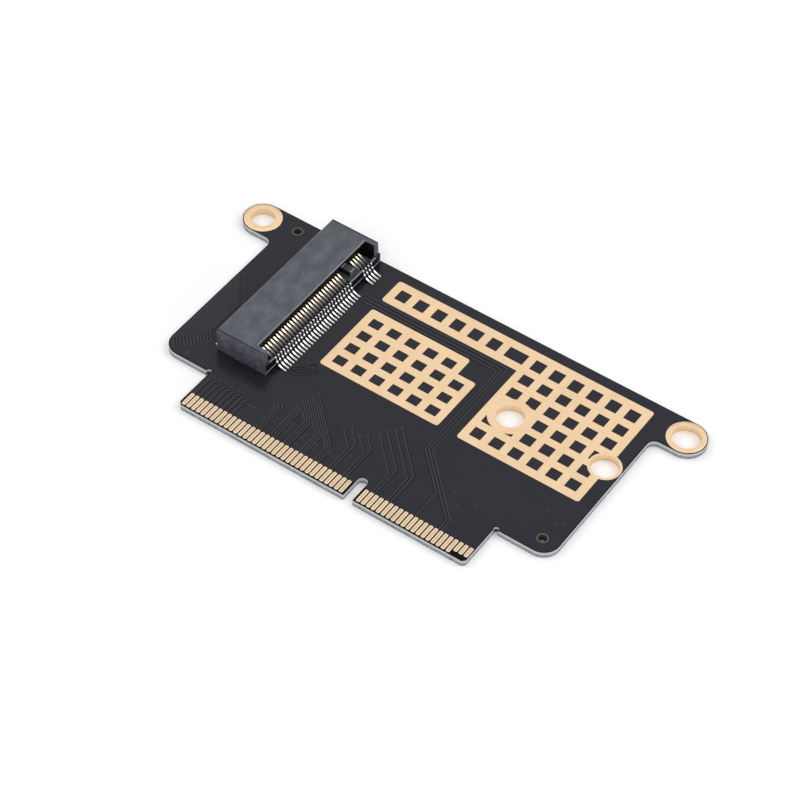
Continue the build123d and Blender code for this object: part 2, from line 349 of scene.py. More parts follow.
@dataclass(frozen=True)
class MaskFinish:
    """Black mask on both faces of the board, fibre at its cut edges with a painted highlight along
    their top and painted shade in the small holes, and gold lands underneath.
    """

    thick: float
    lands: tuple[Land, ...]
    bare_rings: tuple[Land, ...]
    # painted shade: holes whose walls are darkened, and reliefs whose walls are darkened low down
    shaded_holes: tuple[Land, ...]
    shadowed: tuple[Land, ...]
    bare_from_y: float
    mask: Colour = (0.0050, 0.0054, 0.0110, 1)
    mask_light: Colour = (0.0100, 0.0106, 0.0165, 1)
    fibre: Colour = (0.38, 0.395, 0.415, 1)
    fibre_dark: Colour = (0.17, 0.18, 0.195, 1)
    # painted highlight: pale colour along the top of the cut edge
    rim: Colour = (0.53, 0.545, 0.57, 1)
    # painted shade inside the small holes
    hole_shade: Colour = (0.050, 0.037, 0.030, 1)
    bare: Colour = (0.090, 0.086, 0.079, 1)
    laminate: Colour = (0.0035, 0.0035, 0.0045, 1)
    gold: Colour = (0.82, 0.585, 0.33, 1)
    skin: float = 0.05
    skin_blur: float = 0.02
    cloud_size: float = 4.0
    grain_size: float = 0.28
    grain_depth: float = 0.003
    wave_size: float = 1.6
    wave_depth: float = 0.006
    dust_gap: float = 2.6
    dust_r: float = 0.03
    dust_share: float = 0.25
    layer_size: float = 0.16
    layer_stretch: tuple[float, float, float] = (0.25, 0.25, 2.2)
    layer_range: Point = (0.36, 0.64)
    # heights over which the painted highlight fades in, and its share
    highlight_z: Point = (0.30, 0.50)
    highlight_share: float = 0.9
    # heights over which the painted shade low in the reliefs fades
    hole_shade_z: Point = (0.5, 0.3)
    under_z: Point = (0.02, 0.01)
    bare_blur: float = 0.05
    rough: Point = (0.21, 0.29)
    cut_rough: float = 0.5
    gloss: float = 0.27
    bare_gloss: float = 0.06

    def cut_edge(self, g: Graph) -> bpy.types.NodeSocket:
        """Colour of the cut edge: layers of fibre, a painted highlight along its top and painted
        shade in the small holes.

        Args:
            g: Graph that takes the nodes.

        Returns:
            The colour.
        """
        layers = g.noise(self.layer_size, detail=2.0, stretch=self.layer_stretch)
        cut = g.blend(g.fade(layers, *self.layer_range), self.fibre_dark, self.fibre)
        # painted highlight: the upper part of the cut edge is lightened
        high = g.fade(g.z, *(z * MM for z in self.highlight_z), 0.0, self.highlight_share)
        cut = g.blend(high, cut, self.rim)
        # painted shade: darkened walls in the tooling holes, and the low part of the relief walls
        low = g.fade(g.z, *(z * MM for z in self.hole_shade_z))
        dark = g.maths("MAXIMUM", g.within_any(self.shaded_holes),
                       g.maths("MULTIPLY", low, g.within_any(self.shadowed)))
        return g.blend(dark, cut, self.hole_shade)

    def build(self) -> bpy.types.Material:
        """Make the material.

        Returns:
            The finished material.
        """
        g = Graph("black_mask_board")
        cloudy = g.noise(self.cloud_size, detail=4.0)
        face = g.blend(cloudy, self.mask, self.mask_light)
        dust = g.maths("MULTIPLY", g.specks(self.dust_gap, self.dust_r), self.dust_share)
        face = g.blend(dust, face, self.fibre)
        face = g.blend(g.within_any(self.bare_rings), face, self.bare)
        full = self.skin + self.skin_blur
        below = g.fade(g.z, (self.thick - self.skin) * MM, (self.thick - full) * MM)
        edge = g.maths("MULTIPLY", below, g.fade(g.z, self.skin * MM, full * MM))
        past = g.fade(g.y, self.bare_from_y * MM, (self.bare_from_y - self.bare_blur) * MM)
        unmasked = g.maths("MULTIPLY", past, g.fade(edge, 1.0, 0.0))
        face = g.blend(unmasked, face, self.laminate)
        under = g.fade(g.z, *(z * MM for z in self.under_z))
        plated = g.maths("MULTIPLY", g.within_any(self.lands), under)
        colour = g.blend(plated, g.blend(edge, face, self.cut_edge(g)), self.gold)
        rougher = g.maths("MULTIPLY", edge, self.cut_rough)
        rough = g.maths("ADD", g.vary(cloudy, *self.rough), rougher)
        soft = g.bump(g.noise(self.wave_size, detail=2.0), self.wave_depth)
        normal = g.bump(g.noise(self.grain_size), self.grain_depth, strength=0.6, under=soft)
        return g.finish(Base_Color=colour, Roughness=rough, Normal=normal, Metallic=plated,
                        Specular_IOR_Level=g.fade(unmasked, 0.0, 1.0, self.gloss, self.bare_gloss))


@dataclass(frozen=True)
class TraceFinish:
    """Mask where it lies over a trace: a little lighter and smoother than round it."""

    name: str = "black_mask_trace"
    mask: Colour = (0.012, 0.0125, 0.018, 1)
    mask_light: Colour = (0.019, 0.0195, 0.026, 1)
    gloss: float = 0.50
    cloud_size: float = 3.0
    rough_size: float = 0.5
    rough: Point = (0.24, 0.32)
    grain_size: float = 0.3
    grain_depth: float = 0.002

    def build(self) -> bpy.types.Material:
        """Make the material.

        Returns:
            The finished material.
        """
        g = Graph(self.name)
        colour = g.blend(g.noise(self.cloud_size), self.mask, self.mask_light)
        return g.finish(Base_Color=colour,
                        Roughness=g.vary(g.noise(self.rough_size, detail=2.0), *self.rough),
                        Normal=g.bump(g.noise(self.grain_size, detail=2.0), self.grain_depth),
                        Specular_IOR_Level=self.gloss)


@dataclass(frozen=True)
class GoldFinish:
    """Satin gold over copper, with a fine orange peel."""

    name: str = "satin_gold"
    gold: Colour = (0.90, 0.665, 0.425, 1)
    gold_deep: Colour = (0.84, 0.60, 0.365, 1)
    grain: Colour = (0.78, 0.545, 0.345, 1)
    rough: Point = (0.32, 0.44)
    patch_size: float = 2.2
    patch_range: Point = (0.35, 0.75)
    patch_share: float = 0.6
    grain_size: float = 0.13
    grain_range: Point = (0.5, 0.68)
    grain_share: float = 0.5
    rough_size: float = 0.7
    peel_size: float = 0.55
    peel: float = 0.006
    fine_size: float = 0.11
    fine_peel: float = 0.002

    def build(self) -> bpy.types.Material:
        """Make the material.

        Returns:
            The finished material.
        """
        g = Graph(self.name)
        patchy, grainy = g.noise(self.patch_size, detail=4.0), g.noise(self.grain_size, detail=2.0)
        patches = g.fade(patchy, *self.patch_range, 0.0, self.patch_share)
        grains = g.fade(grainy, *self.grain_range, 0.0, self.grain_share)
        colour = g.blend(grains, g.blend(patches, self.gold, self.gold_deep), self.grain)
        rough = g.vary(g.noise(self.rough_size), *self.rough)
        coarse = g.bump(g.noise(self.peel_size, detail=2.0), self.peel)
        fine = g.noise(self.fine_size, detail=2.0)
        normal = g.bump(fine, self.fine_peel, strength=0.7, under=coarse)
        return g.finish(Base_Color=colour, Roughness=rough, Normal=normal, Metallic=1.0)


@dataclass(frozen=True)
class PlasticFinish:
    """Glass-filled plastic of the housing: matte, lightly mottled, with a few pale specks."""

    name: str = "glass_filled_plastic"
    base: Colour = (0.049, 0.052, 0.068, 1)
    pale: Colour = (0.090, 0.095, 0.118, 1)
    dark: Colour = (0.029, 0.032, 0.043, 1)
    speck: Colour = (0.62, 0.64, 0.66, 1)
    scuff: Colour = (0.17, 0.175, 0.205, 1)
    scuffed_y: float = -10.8
    scuff_blur: float = 0.03
    scuff_size: float = 0.5
    scuff_stretch: tuple[float, float, float] = (1.0, 1.0, 1.6)
    scuff_range: Point = (0.52, 0.66)
    scuff_share: float = 0.45
    flow_size: float = 1.3
    flow_stretch: tuple[float, float, float] = (1.0, 0.6, 1.0)
    flow_range: Point = (0.3, 0.72)
    grain_size: float = 0.11
    grain_range: Point = (0.62, 0.3)
    grain_share: float = 0.55
    speck_gap: float = 0.8
    speck_r: float = 0.045
    speck_share: float = 0.8
    speckled_size: float = 3.1
    speckled_range: Point = (0.53, 0.57)
    rough: Point = (0.46, 0.62)
    wave_size: float = 0.5
    wave_depth: float = 0.006
    grain_depth: float = 0.004
    gloss: float = 0.5

    def build(self) -> bpy.types.Material:
        """Make the material.

        Returns:
            The finished material.
        """
        g = Graph(self.name)
        flow = g.noise(self.flow_size, detail=5.0, stretch=self.flow_stretch)
        grain = g.noise(self.grain_size)
        colour = g.blend(g.fade(flow, *self.flow_range), self.base, self.pale)
        colour = g.blend(g.fade(grain, *self.grain_range, 0.0, self.grain_share), colour, self.dark)
        speckled = g.fade(g.noise(self.speckled_size, detail=1.0), *self.speckled_range)
        spots = g.maths("MULTIPLY", g.specks(self.speck_gap, self.speck_r), speckled)
        colour = g.blend(g.maths("MULTIPLY", spots, self.speck_share), colour, self.speck)
        scuffs = g.noise(self.scuff_size, detail=5.0, stretch=self.scuff_stretch)
        worn = g.fade(scuffs, *self.scuff_range)
        near_end = g.fade(g.y, self.scuffed_y * MM, (self.scuffed_y - self.scuff_blur) * MM,
                          0.0, self.scuff_share)
        colour = g.blend(g.maths("MULTIPLY", worn, near_end), colour, self.scuff)
        coarse = g.bump(g.noise(self.wave_size, detail=2.0), self.wave_depth)
        normal = g.bump(grain, self.grain_depth, strength=0.8, under=coarse)
        return g.finish(Base_Color=colour, Roughness=g.vary(grain, *self.rough), Normal=normal,
                        Specular_IOR_Level=self.gloss)


@dataclass(frozen=True)
class ContactFinish:
    """Contact strips: gold at the spring end, dull along the arm and tin towards the foot, with a
    band of painted shade at the heel.
    """

    gold_ends_x: float
    dull_from_x: float
    dull_to_x: float
    tin_from_x: float
    heel_x: float
    name: str
    gold: Colour = (1.0, 0.87, 0.63, 1)
    dull: Colour = (0.23, 0.225, 0.205, 1)
    tin: Colour = (0.70, 0.695, 0.69, 1)
    # painted shade: colour of the dark band at the heel
    heel_shade: Colour = (0.34, 0.29, 0.285, 1)
    heel_reach: Point = (0.12, 0.06)
    rough_size: float = 0.2
    rough: Point = (0.20, 0.34)
    grain_size: float = 0.12
    grain_depth: float = 0.003

    def build(self) -> bpy.types.Material:
        """Make the material.

        Returns:
            The finished material.
        """
        g = Graph(self.name)
        dulled = g.fade(g.x, self.gold_ends_x * MM, self.dull_from_x * MM)
        tinned = g.fade(g.x, self.dull_to_x * MM, self.tin_from_x * MM)
        colour = g.blend(tinned, g.blend(dulled, self.gold, self.dull), self.tin)
        # painted shade: a dark band across the strip at the heel
        from_heel = g.maths("ABSOLUTE", g.maths("SUBTRACT", g.x, self.heel_x * MM))
        at_heel = g.fade(from_heel, *(reach * MM for reach in self.heel_reach))
        colour = g.blend(at_heel, colour, self.heel_shade)
        return g.finish(Base_Color=colour, Metallic=1.0,
                        Roughness=g.vary(g.noise(self.rough_size), *self.rough),
                        Normal=g.bump(g.noise(self.grain_size, detail=2.0), self.grain_depth))


@dataclass(frozen=True)
class TinFinish:
    """Bright tin and solder."""

    name: str = "bright_solder"
    tin: Colour = (0.80, 0.80, 0.79, 1)
    dull: Colour = (0.56, 0.565, 0.57, 1)
    patch_size: float = 0.3
    patch_range: Point = (0.4, 0.7)
    rough_size: float = 0.4
    rough: Point = (0.18, 0.36)
    wave_size: float = 0.18
    wave_depth: float = 0.008

    def build(self) -> bpy.types.Material:
        """Make the material.

        Returns:
            The finished material.
        """
        g = Graph(self.name)
        patches = g.fade(g.noise(self.patch_size), *self.patch_range)
        return g.finish(Base_Color=g.blend(patches, self.tin, self.dull), Metallic=1.0,
                        Roughness=g.vary(g.noise(self.rough_size, detail=2.0), *self.rough),
                        Normal=g.bump(g.noise(self.wave_size, detail=2.0), self.wave_depth))


@dataclass(frozen=True)
class PaperFinish:
    """Plain white sheet under the card."""

    white: Colour = (0.80, 0.80, 0.80, 1)
    cloud_size: float = 30.0
    cloud_range: Point = (0.2, 0.8)
    tone: Point = (0.98, 1.0)
    rough: float = 0.7
    gloss: float = 0.2

    def build(self) -> bpy.types.Material:
        """Make the material.

        Returns:
            The finished material.
        """
        g = Graph("white_sheet")
        tone = g.fade(g.noise(self.cloud_size, detail=2.0), *self.cloud_range, *self.tone)
        dimmer = g.add("ShaderNodeMix", data_type="RGBA", blend_type="MULTIPLY")
        dimmer.inputs["Factor"].default_value = 1.0
        for colour, index in zip((self.white, tone), COLOUR_INPUTS):
            g.join(colour, dimmer.inputs[index])
        return g.finish(Base_Color=dimmer.outputs[COLOUR_RESULT], Roughness=self.rough,
                        Specular_IOR_Level=self.gloss)


def dress(piece: bpy.types.Object, finish: bpy.types.Material,
          more: Sequence[bpy.types.Material] = ()) -> None:
    """Give an object its finish.

    Args:
        piece: Object to dress.
        finish: Material for every face that the mesh doesn't mark.
        more: Materials for the marked faces, in the order of their marks.
    """
    if piece.data.materials:
        piece.data.materials.clear()
    for material in (finish, *more):
        piece.data.materials.append(material)


def add_piece(name: str, bm: bmesh.types.BMesh, finish: bpy.types.Material,
              stands_for: Sequence[str] = (), smooth: Optional[float] = SMOOTH_ANGLE,
              more: Sequence[bpy.types.Material] = ()) -> bpy.types.Object:
    """Make an object of a mesh in millimetres and let it ride on the card.

    Args:
        name: Name of the piece.
        bm: Mesh in millimetres; it is freed.
        finish: Its material.
        stands_for: CAD nodes that it replaces.
        smooth: Largest angle in degrees that is shaded smooth, or None for flat faces.
        more: Materials for the faces that the mesh marks.

    Returns:
        The new object.
    """
    bmesh.ops.transform(bm, matrix=Matrix.Scale(MM, 4), verts=bm.verts)
    mesh = bpy.data.meshes.new(name)
    bm.to_mesh(mesh)
    bm.free()
    if smooth is not None:
        mesh.shade_smooth()
        mesh.set_sharp_from_angle(angle=math.radians(smooth))
    piece = bpy.data.objects.new(name, mesh)
    bpy.context.scene.collection.objects.link(piece)
    dress(piece, finish, more)
    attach(piece, BODY)
    if stands_for:
        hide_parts(*stands_for)
    log.info("%s: %d faces", name, len(mesh.polygons))
    return piece


def node_mesh(name: str) -> bmesh.types.BMesh:
    """Copy a CAD node's mesh in millimetres, with its triangles merged into clean faces.

    Args:
        name: Name of the node.

    Returns:
        The merged mesh.
    """
    bm = bmesh.new()
    bm.from_mesh(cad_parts[name].data)
    bmesh.ops.transform(bm, matrix=Matrix.Scale(1 / MM, 4), verts=bm.verts)
    bmesh.ops.remove_doubles(bm, verts=bm.verts, dist=WELD)
    bmesh.ops.dissolve_limit(bm, angle_limit=math.radians(FLAT_ANGLE), verts=bm.verts,
                             edges=bm.edges, delimit=set())
    return bm


def soften(bm: bmesh.types.BMesh, width: float, segments: int = 2,
           least: float = 40.0) -> list[bmesh.types.BMFace]:
    """Round the sharp edges of a mesh.

    Args:
        bm: Mesh in millimetres.
        width: Width of the rounding.
        segments: Steps in it.
        least: Smallest angle in degrees between the faces of a sharp edge.

    Returns:
        The faces of the roundings.
    """
    limit = math.radians(least)
    sharp = [e for e in bm.edges if e.is_manifold and e.calc_face_angle(0.0) > limit]
    made = bmesh.ops.bevel(bm, geom=sharp, offset=width, offset_type="OFFSET", affect="EDGES",
                           segments=segments, profile=0.5, material=-1, clamp_overlap=True)
    return made["faces"]


def spread(unit: bmesh.types.BMesh, places: Iterable[Vector]) -> bmesh.types.BMesh:
    """Repeat a small mesh at several places.

    Args:
        unit: Mesh to repeat; it is freed.
        places: Offsets of the copies.

    Returns:
        One mesh with all the copies.
    """
    mesh = bpy.data.meshes.new("unit")
    unit.to_mesh(mesh)
    unit.free()
    bm = bmesh.new()
    for place in places:
        before = len(bm.verts)
        bm.from_mesh(mesh)
        bm.verts.ensure_lookup_table()
        bmesh.ops.translate(bm, vec=place, verts=bm.verts[before:])
    bpy.data.meshes.remove(mesh)
    return bm


def bent_line(bm: bmesh.types.BMesh, points: Sequence[Vector], radius: float,
              steps: int) -> list[bmesh.types.BMEdge]:
    """Add a line of edges with rounded corners.

    Args:
        bm: Mesh that takes the line.
        points: Its corners.
        radius: Distance from a corner at which its rounding starts.
        steps: Segments in each rounding.

    Returns:
        The edges of the line.
    """
    verts = [bm.verts.new(p) for p in points]
    for a, b in zip(verts, verts[1:]):
        bm.edges.new((a, b))
    if steps and len(verts) > 2:
        bmesh.ops.bevel(bm, geom=verts[1:-1], offset=radius, offset_type="OFFSET",
                        affect="VERTICES", segments=steps, profile=0.5, material=-1,
                        clamp_overlap=True)
    return list(bm.edges)


def bent_strip(points: Sequence[Vector], across: Vector, thick: float, radius: float, steps: int,
               ) -> bmesh.types.BMesh:
    """Make a strip of even thickness that follows a line.

    Args:
        points: Corners of its centre line.
        across: Width of the strip as a vector.
        thick: Thickness of the strip.
        radius: Distance from a corner at which its rounding starts.
        steps: Segments in each rounding.

    Returns:
        The closed strip.
    """
    bm = bmesh.new()
    edges = bent_line(bm, points, radius, steps)
    grown = bmesh.ops.extrude_edge_only(bm, edges=edges)["geom"]
    side = [v for v in grown if isinstance(v, bmesh.types.BMVert)]
    bmesh.ops.translate(bm, vec=across, verts=side)
    bmesh.ops.translate(bm, vec=-across / 2, verts=bm.verts)
    bmesh.ops.recalc_face_normals(bm, faces=bm.faces)
    bmesh.ops.solidify(bm, geom=bm.faces, thickness=thick)
    bmesh.ops.recalc_face_normals(bm, faces=bm.faces)
    return bm


@dataclass
class Board:
    """Glass-fibre board, its plated holes and the marks on its skin."""

    plating_round: float = 0.02
    ear_land_r: float = 2.25
    near_land_r: float = 2.3
    far_land_r: float = 1.9
    bare_ring_r: float = 0.66
    # radius of the painted shade in a tooling hole
    dark_r: float = 0.5
    rim_r: float = 0.05
    rim_height: float = 0.02
    rim_sides: int = 6
    rim_steps: int = 48
    rim_smooth: float = 60.0
    border: float = 0.1
    top_margin: float = 0.01
    bare_from_y: float = -17.56
    relief_r: float = 0.36
    tooling: tuple[Point, ...] = ((-35.2, 9.3), (11.95, -12.15))
    reliefs: tuple[Point, ...] = ((-30.155, -13.96), (7.385, -13.96))
    eyelets: tuple[str, ...] = ("ear_eyelet_left", "ear_eyelet_right",
                                "drive_eyelet_near", "drive_eyelet_far")
    hole_centres: dict[str, Point] = field(default_factory=dict)

    def find_holes(self) -> None:
        """Read the middles of the plated holes from their CAD nodes."""
        for name in self.eyelets:
            low, high = node_range(name)
            middle = (low + high) / 2
            self.hole_centres[name] = (middle.x, middle.y)

    def rim(self, name: str, gold: bpy.types.Material) -> None:
        """Low rounded rim of plating round the top of a hole.

        Args:
            name: Node of the hole's plating.
            gold: Finish of the rim.
        """
        high = node_range(name)[1]
        centre = self.hole_centres[name]
        bm = bmesh.new()
        bmesh.ops.create_circle(bm, cap_ends=False, segments=self.rim_sides, radius=self.rim_r,
                                matrix=Matrix.Rotation(math.pi / 2, 4, "X"))
        bmesh.ops.scale(bm, vec=(1, 1, self.rim_height / self.rim_r), verts=bm.verts)
        bmesh.ops.translate(bm, vec=(self.bore(name) + self.rim_r, 0, 0), verts=bm.verts)
        bmesh.ops.spin(bm, geom=bm.verts[:] + bm.edges[:], cent=(0, 0, 0), axis=(0, 0, 1),
                       angle=2 * math.pi, steps=self.rim_steps, use_merge=True)
        bmesh.ops.translate(bm, vec=(*centre, high.z), verts=bm.verts)
        bmesh.ops.recalc_face_normals(bm, faces=bm.faces)
        add_piece(name.replace("eyelet", "rim"), bm, gold, smooth=self.rim_smooth)

    def bore(self, name: str) -> float:
        """Radius of a plated hole.

        Args:
            name: Node of its plating.

        Returns:
            The distance in millimetres from the middle to the nearest vertex.
        """
        x, y = self.hole_centres[name]
        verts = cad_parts[name].data.vertices
        return min(math.hypot(v.co.x / MM - x, v.co.y / MM - y) for v in verts)

    def card(self, skin: bpy.types.Material, dark: bpy.types.Material) -> None:
        """Make the board with a narrow darker, less glossy border round the edges of its upper
        face.

        Args:
            skin: Its finish.
            dark: Finish of the border.
        """
        bm = node_mesh("board")
        least = node_range("board")[1].z - self.top_margin
        top = [f for f in bm.faces if f.normal.z > UPWARD and f.calc_center_median().z > least]
        made = bmesh.ops.inset_region(bm, faces=top, thickness=self.border, use_even_offset=True)
        for face in made["faces"]:
            face.material_index = MARKED
        add_piece("masked_board", bm, skin, ["board"], smooth=None, more=(dark,))

    def build(self, gold: bpy.types.Material) -> None:
        """Make the board and its plated holes.

        Args:
            gold: Finish of the plating.
        """
        self.find_holes()
        low, high = node_range("board")
        radii = (self.ear_land_r, self.ear_land_r, self.near_land_r, self.far_land_r)
        lands = tuple(Land(self.hole_centres[name], radius)
                      for name, radius in zip(self.eyelets, radii))
        rings = tuple(Land(centre, self.bare_ring_r) for centre in self.tooling)
        # areas of painted shade in the tooling holes and in the reliefs
        shaded_holes = tuple(Land(centre, self.dark_r) for centre in self.tooling)
        shadowed = tuple(Land(centre, self.relief_r) for centre in self.reliefs)
        skin = MaskFinish(high.z, lands, rings, shaded_holes, shadowed, self.bare_from_y).build()
        border = TraceFinish("mask_border", mask=(0.006, 0.006, 0.008, 1),
                             mask_light=(0.010, 0.010, 0.012, 1), gloss=0.06)
        self.card(skin, border.build())
        for name in self.eyelets:
            bm = node_mesh(name)
            soften(bm, self.plating_round)
            add_piece(name.replace("eyelet", "plating"), bm, gold, [name])
            self.rim(name, gold)
        log.info("board: %.2f mm thick, %d lands underneath", high.z - low.z, len(lands))


@dataclass
class GoldFields:
    """Bare gold fields with their islands of mask, and the edge fingers."""

    edge_round: float = 0.012
    # width of the painted highlight round the top of each pad
    pad_highlight_width: float = 0.07
    pad_width: float = 0.47
    pad_length: float = 1.9
    pad_corner: float = 0.14
    corner_steps: int = 3
    pad_pitch: float = 0.63
    key_x: float = -7.52
    first_from_key: float = 1.115
    cut: float = 0.5
    count_long: int = 34
    count_short: int = 22
    count_cut: int = 3

    def pad(self, length: float, z: float, thick: float) -> bmesh.types.BMesh:
        """One pad with rounded corners, with its back end at Y zero.

        Args:
            length: Length of the pad.
            z: Height of its foot.
            thick: Its thickness.

        Returns:
            The pad.
        """
        bm = bmesh.new()
        bmesh.ops.create_grid(bm, x_segments=1, y_segments=1, size=0.5)
        bmesh.ops.scale(bm, vec=(self.pad_width, length, 1), verts=bm.verts)
        bmesh.ops.translate(bm, vec=(0, -length / 2, z), verts=bm.verts)
        bmesh.ops.bevel(bm, geom=bm.verts[:], offset=self.pad_corner, offset_type="OFFSET",
                        affect="VERTICES", segments=self.corner_steps, profile=0.5, material=-1)
        grown = bmesh.ops.extrude_face_region(bm, geom=bm.faces[:])["geom"]
        top = [v for v in grown if isinstance(v, bmesh.types.BMVert)]
        bmesh.ops.translate(bm, vec=(0, 0, thick), verts=top)
        bmesh.ops.recalc_face_normals(bm, faces=bm.faces)
        rim = [e for e in bm.edges if all(v in top for v in e.verts)]
        bmesh.ops.bevel(bm, geom=rim, offset=self.edge_round, offset_type="OFFSET", affect="EDGES",
                        segments=1, profile=0.5, material=-1)
        faces = [f for f in bm.faces if f.normal.z > UPWARD]
        # painted highlight: an inset band round each pad's top takes the bright finish
        for face in bmesh.ops.inset_individual(bm, faces=faces, thickness=self.pad_highlight_width)["faces"]:
            face.material_index = MARKED
        return bm

    def fingers(self) -> None:
        """Make both groups of edge fingers."""
        hard = GoldFinish("hard_gold", gold=(0.73, 0.55, 0.36, 1), gold_deep=(0.68, 0.50, 0.315, 1),
                          grain=(0.62, 0.43, 0.27, 1)).build()
        # painted highlight: brighter gold for the band round each pad
        rim = GoldFinish("painted_highlight_pad_rim", gold=(0.98, 0.82, 0.60, 1),
                         gold_deep=(0.93, 0.76, 0.53, 1), grain=(0.93, 0.76, 0.53, 1)).build()
        low, high = node_range("edge_fingers_long")
        from_key = Series(self.first_from_key, self.pad_pitch)
        left = [self.key_x - from_key.at(i) for i in range(self.count_long)]
        right = [self.key_x + from_key.at(i) for i in range(self.count_short)]
        whole, short = right[:-self.count_cut], right[-self.count_cut:]
        rows = ((left, self.pad_length, "finger_pads_long", ["edge_fingers_long"]),
                (whole, self.pad_length, "finger_pads_short", ["edge_fingers_short"]),
                (short, self.pad_length - self.cut, "finger_pads_cut", ["edge_fingers_short"]))
        for xs, length, name, nodes in rows:
            unit = self.pad(length, low.z, high.z - low.z)
            bm = spread(unit, [Vector((x, high.y, 0)) for x in xs])
            add_piece(name, bm, hard, nodes, more=(rim,))

    def build(self, gold: bpy.types.Material) -> None:
        """Make the fields with softened edges, then the fingers.

        Args:
            gold: Their finish.
        """
        for name in ("gold_field_large", "gold_field_small"):
            bm = node_mesh(name)
            soften(bm, self.edge_round, segments=1)
            add_piece(name.replace("gold", "plated"), bm, gold, [name], smooth=None)
        self.fingers()


@dataclass
class Traces:
    """Thin ridges and dots where the mask lies over traces and vias."""

    width: float = 0.13
    height: float = 0.035
    # painted shade: wider, lower dark strips under the ridges and loops
    shade_width: float = 0.25
    shade_height: float = 0.012
    loop_width: float = 0.27
    loop_shade_width: float = 0.45
    via_r: float = 0.24
    via_sides: int = 14
    via_taper: float = 0.85
    via_rise: float = 1.5
    dimple: float = 0.38
    finger_back: float = -17.62
    finger_x: Series = Series(-29.425, 0.63)
    bus_count: int = 15
    bus_y: Series = Series(-13.55, 0.29)
    bus_edge_count: int = 12
    bus_edge_x: Series = Series(-36.35, 0.24)
    bus_edge_top: Series = Series(-0.25, -0.32)
    bus_edge_turn: float = 1.1
    bus_socket_x: float = -23.9
    bus_turn_x: Series = Series(-19.95, 0.09)
    bus_first_turn: float = 0.5
    bus_drops: tuple[float, ...] = (-20.9, -19.0, -17.15, -15.1, -13.2)
    bus_drop_pitch: float = 0.3
    bus_drop_count: int = 3
    row_via_x: Series = Series(-29.05, 0.79)
    row_via_y: float = -14.52
    row_via_count: int = 6
    row_line_count: int = 9
    row_line_top: float = -14.75
    row_line_turn: Point = (0.3, 0.35)
    pair_vias: tuple[Point, ...] = (
        (-13.4, -12.21), (-12.75, -11.65), (-11.46, -12.02), (-10.85, -11.43),
        (-9.88, -10.56), (-9.5, -9.69), (-8.92, -8.97), (-8.48, -8.35),
    )
    pair_drops: tuple[float, ...] = (-11.55, -11.2, -9.75, -9.4, -5.95, -5.6, -4.0, -3.6)
    upper_start_x: float = -22.8
    upper_y: Series = Series(4.71, 0.49)
    upper_turn_x: Series = Series(-4.75, 0.37)
    upper_end_y: Series = Series(-9.2, 0.15)
    upper_chamfer: float = 0.2
    upper_drops: tuple[float, ...] = (-0.35, 2.6, 2.95)
    loop_vias: tuple[Point, ...] = ((-21.96, -6.66), (-21.23, -6.89))
    loop_outer: tuple[Point, ...] = (
        (-21.96, -6.04), (-21.3, -6.02), (-20.47, -6.39), (-20.43, -7.22), (-22.2, -8.95),
        (-23.6, -8.95),
    )
    loop_inner: tuple[Point, ...] = ((-22.75, -8.4), (-23.6, -8.4))
    lone_vias: tuple[Point, ...] = (
        (-23.85, -15.51), (-23.34, -15.44), (-22.91, -15.42), (-22.26, -15.54), (-34.28, -10.69),
        (-33.7, -13.17), (-34.94, -1.47), (-35.76, 0.16), (-35.08, 1.94), (-33.76, 1.79),
        (-20.11, -15.73), (-20.11, -15.14), (-18.18, -16.09), (-18.18, -15.35), (-18.31, -14.71),
        (-16.33, -15.91), (-16.18, -15.21), (-14.36, -16.35), (-14.42, -15.67), (-16.21, -16.98),
        (-12.59, -15.78), (-10.7, -15.54), (-10.61, -14.9), (-22.43, -16.3), (0.96, -12.41),
        (2.45, -13.89), (4.11, -12.67), (10.45, -8.77), (12.09, -9.95), (12.83, -9.32),
    )
    routes: list[list[Point]] = field(default_factory=list)
    loops: list[list[Point]] = field(default_factory=list)
    vias: list[Point] = field(default_factory=list)

    def drop(self, x: float, y: float, drop_x: float) -> list[Point]:
        """Corners of a line that runs down at 45 degrees and then straight to the fingers.

        Args:
            x: Where the slope starts.
            y: Height at which it starts.
            drop_x: Where the straight end runs.

        Returns:
            The last two corners.
        """
        return [(drop_x, y - (drop_x - x)), (drop_x, self.finger_back)]

    def bus(self) -> None:
        """Lines along the left edge that turn at the socket's end and fan out to the fingers."""
        for i in range(self.bus_count):
            y = self.bus_y.at(i)
            group, place = divmod(i, self.bus_drop_count)
            drop_x = self.bus_drops[group] + self.bus_drop_pitch * (place - 1)
            turn = self.bus_turn_x.at(i) if group else drop_x - self.bus_first_turn
            head = [(self.bus_socket_x, y)]
            if i < self.bus_edge_count:
                x = self.bus_edge_x.at(i)
                head = [(x, self.bus_edge_top.at(i)), (x, y + self.bus_edge_turn),
                        (x + self.bus_edge_turn, y)]
            self.routes.append([*head, (turn, y), *self.drop(turn, y, drop_x)])

    def via_row(self) -> None:
        """Row of vias at the root of the tab, with a line from each of the first fingers."""
        self.vias.extend((self.row_via_x.at(i), self.row_via_y) for i in range(self.row_via_count))
        aside, down = self.row_line_turn
        for i in range(self.row_line_count):
            x = self.finger_x.at(i)
            self.routes.append([(x + aside, self.row_line_top), (x, self.row_line_top - down),
                                (x, self.finger_back)])

    def via_pairs(self) -> None:
        """Pairs of vias in the middle, with their lines to the fingers."""
        self.vias.extend(self.pair_vias)
        for (x, y), drop_x in zip(self.pair_vias, self.pair_drops):
            self.routes.append([(x, y), *self.drop(x, y, drop_x)])

    def upper_lines(self) -> None:
        """Lines between the gold strip and the small field that turn down to the fingers."""
        for i, drop_x in enumerate(self.upper_drops):
            line, turn, y = self.upper_y.at(i), self.upper_turn_x.at(i), self.upper_end_y.at(i)
            self.routes.append([(self.upper_start_x, line), (turn - self.upper_chamfer, line),
                                (turn, line - self.upper_chamfer), (turn, y),
                                *self.drop(turn, y, drop_x)])

